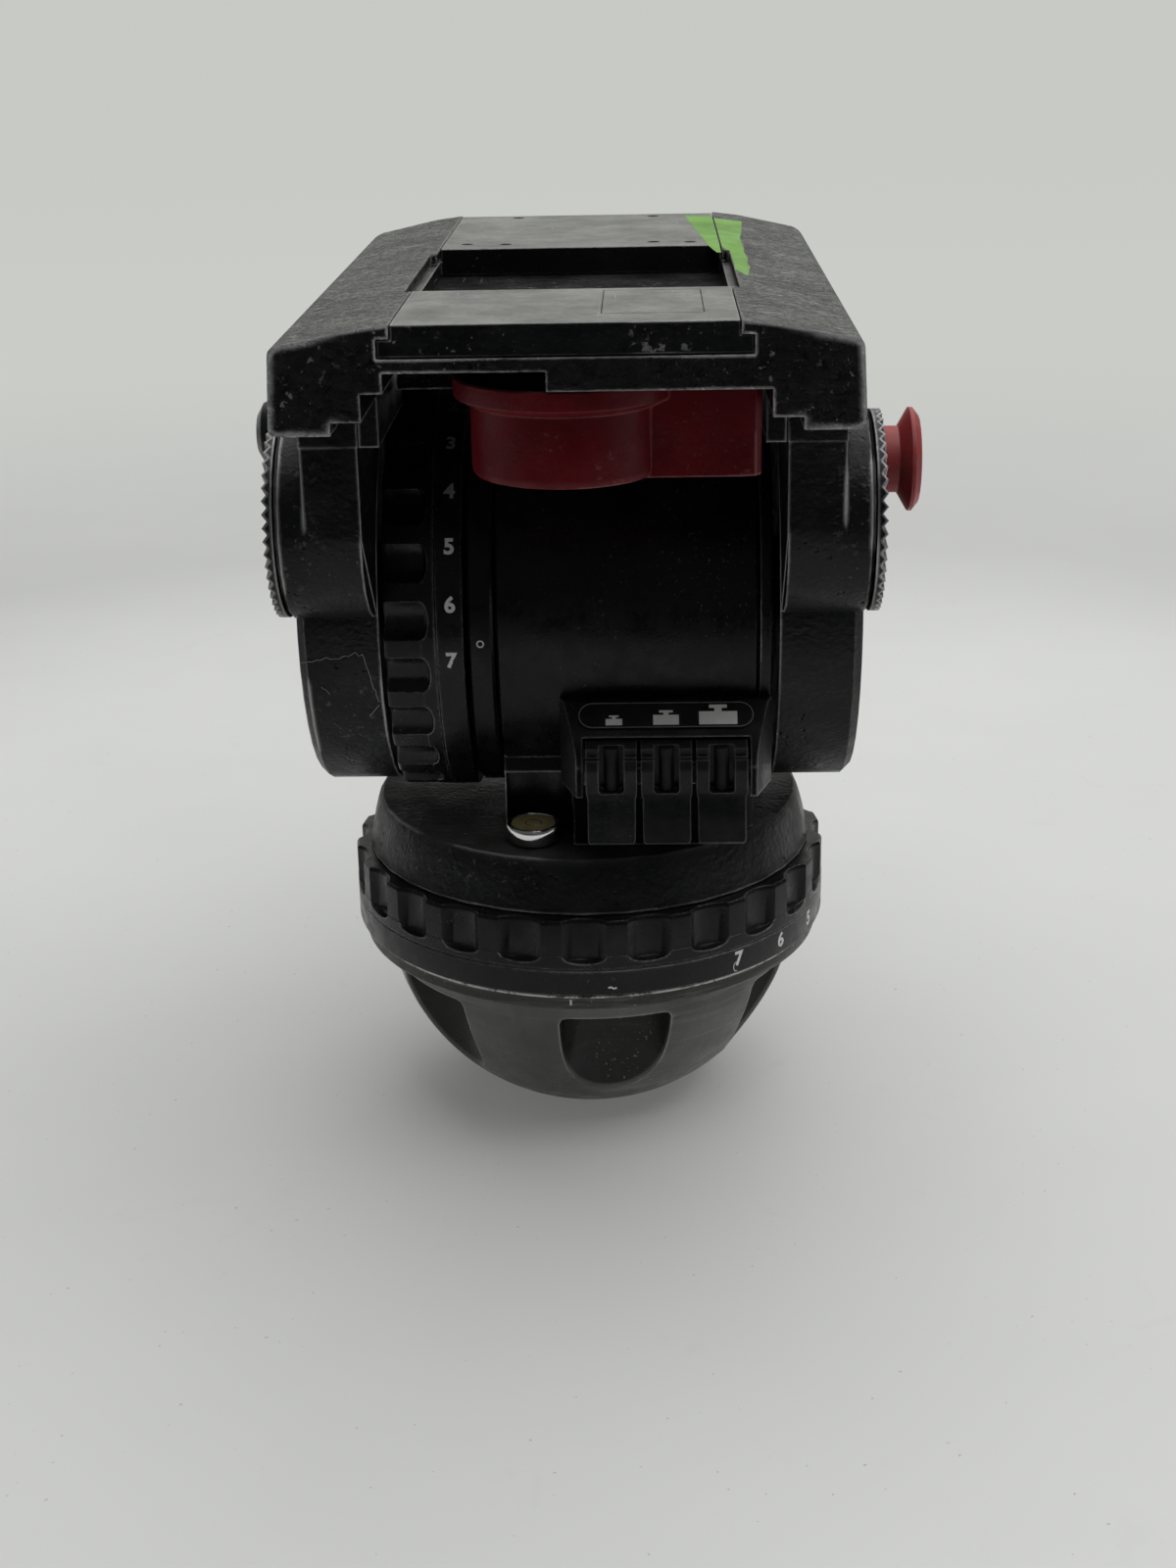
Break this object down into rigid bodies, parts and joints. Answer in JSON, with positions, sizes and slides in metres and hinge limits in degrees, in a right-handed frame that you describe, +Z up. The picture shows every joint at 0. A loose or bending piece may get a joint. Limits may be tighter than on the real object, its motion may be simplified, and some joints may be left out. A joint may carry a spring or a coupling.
{
  "type": "fluid video head",
  "caption": "Half-ball fluid head with pan and tilt drag dials, counterbalance levers, side arms and a sliding camera plate.",
  "frame": {"origin": "middle of the flat foot under the half ball, on the pan axis", "axes": "+Z up along the pan axis; -Y faces the operator's side, where the levers and the clamp knob are; X runs along the tilt axis"},
  "size_m": [0.148, 0.185, 0.202],
  "materials": {
    "cast_paint": "fine cast texture under satin black paint",
    "satin_paint": "smooth satin black",
    "black_plastic": "matte dark grey",
    "red_plastic": "dusty dark red",
    "label": "smooth black label plate",
    "steel": "turned",
    "chrome": "polished",
    "vial": "amber bubble vial",
    "alloy": "turned"
  },
  "bodies": {
    "base": {"ball_base": "cast_paint", "centre_bolt": "steel", "pan_spindle": "steel", "spindle_nut": "steel", "pan_damper": "alloy", "pan_bearing": "steel"},
    "pan_dial": {"pan_drag_dial": "satin_paint"},
    "pan_unit": {"pan_housing": "cast_paint", "pan_hub": "cast_paint", "bubble_cup": "chrome", "bubble_vial": "vial", "tilt_body": "satin_paint", "tilt_index_ring": "satin_paint", "tilt_end_cap": "satin_paint", "lever_housing": "cast_paint", "lever_label": "label", "lever_pin": "steel", "tilt_bearing_left": "steel", "tilt_bearing_right": "steel", "counterbalance_spring_1": "steel", "counterbalance_spring_2": "steel", "counterbalance_spring_3": "steel"},
    "pan_brake": {"pan_brake_lever": "black_plastic", "pan_brake_spindle": "steel"},
    "tilt_dial": {"tilt_drag_dial": "satin_paint"},
    "lever_1": {"balance_lever_1": "black_plastic"},
    "lever_2": {"balance_lever_2": "black_plastic"},
    "lever_3": {"balance_lever_3": "black_plastic"},
    "tilt_head": {"left_arm": "cast_paint", "right_arm": "cast_paint", "left_front_pad": "cast_paint", "left_rear_pad": "cast_paint", "right_front_pad": "cast_paint", "right_rear_pad": "cast_paint", "left_rosette": "satin_paint", "right_rosette": "satin_paint", "left_axle_cover": "satin_paint", "right_axle_cover": "satin_paint", "platform": "cast_paint", "tilt_axle": "steel", "tilt_damper": "alloy", "clamp_washer": "steel", "clamp_shoe": "alloy"},
    "plate": {"camera_plate": "cast_paint"},
    "clamp": {"clamp_knob": "red_plastic", "clamp_spindle": "steel"},
    "tilt_lock": {"tilt_lock_knob": "red_plastic", "tilt_lock_plunger": "steel"},
    "tilt_brake": {"tilt_brake_lever": "black_plastic", "tilt_brake_spindle": "steel"}
  },
  "joints": [
    {"name": "pan", "type": "hinge", "parent": "base", "child": "pan_unit", "pos_m": [0, 0, 0.04702], "axis": [0, 0, 1], "continuous": true},
    {"name": "pan_drag", "type": "hinge", "parent": "base", "child": "pan_dial", "pos_m": [0, 0, 0.04702], "axis": [0, 0, -1], "range_deg": [0, 105]},
    {"name": "pan_brake_turn", "type": "hinge", "parent": "pan_unit", "child": "pan_brake", "pos_m": [0, 0.0551, 0.07152], "axis": [0, -1, 0], "range_deg": [0, 35]},
    {"name": "tilt", "type": "hinge", "parent": "pan_unit", "child": "tilt_head", "pos_m": [0, 0, 0.12812], "axis": [1, 0, 0], "range_deg": [-75, 55]},
    {"name": "tilt_drag", "type": "hinge", "parent": "pan_unit", "child": "tilt_dial", "pos_m": [-0.0335, 0, 0.12812], "axis": [1, 0, 0], "range_deg": [0, 105]},
    {"name": "lever_1_flip", "type": "hinge", "parent": "pan_unit", "child": "lever_1", "pos_m": [0.00665, -0.05195, 0.10042], "axis": [-1, 0, 0], "range_deg": [0, 30]},
    {"name": "lever_2_flip", "type": "hinge", "parent": "pan_unit", "child": "lever_2", "pos_m": [0.0186, -0.05195, 0.10042], "axis": [-1, 0, 0], "range_deg": [0, 30]},
    {"name": "lever_3_flip", "type": "hinge", "parent": "pan_unit", "child": "lever_3", "pos_m": [0.03055, -0.05195, 0.10042], "axis": [-1, 0, 0], "range_deg": [0, 30]},
    {"name": "plate_slide", "type": "slide", "parent": "tilt_head", "child": "plate", "axis": [0, 1, 0], "range_m": [-0.05, 0.05]},
    {"name": "clamp_turn", "type": "hinge", "parent": "tilt_head", "child": "clamp", "pos_m": [-0.001, -0.07, 0.178], "axis": [0, 0, 1], "range_deg": [-150, 0]},
    {"name": "tilt_lock_push", "type": "slide", "parent": "tilt_head", "child": "tilt_lock", "axis": [-1, 0, 0], "range_m": [0, 0.0025]},
    {"name": "tilt_brake_turn", "type": "hinge", "parent": "tilt_head", "child": "tilt_brake", "pos_m": [-0.0616, -0.012, 0.16612], "axis": [1, 0, 0], "range_deg": [0, 60]}
  ]
}
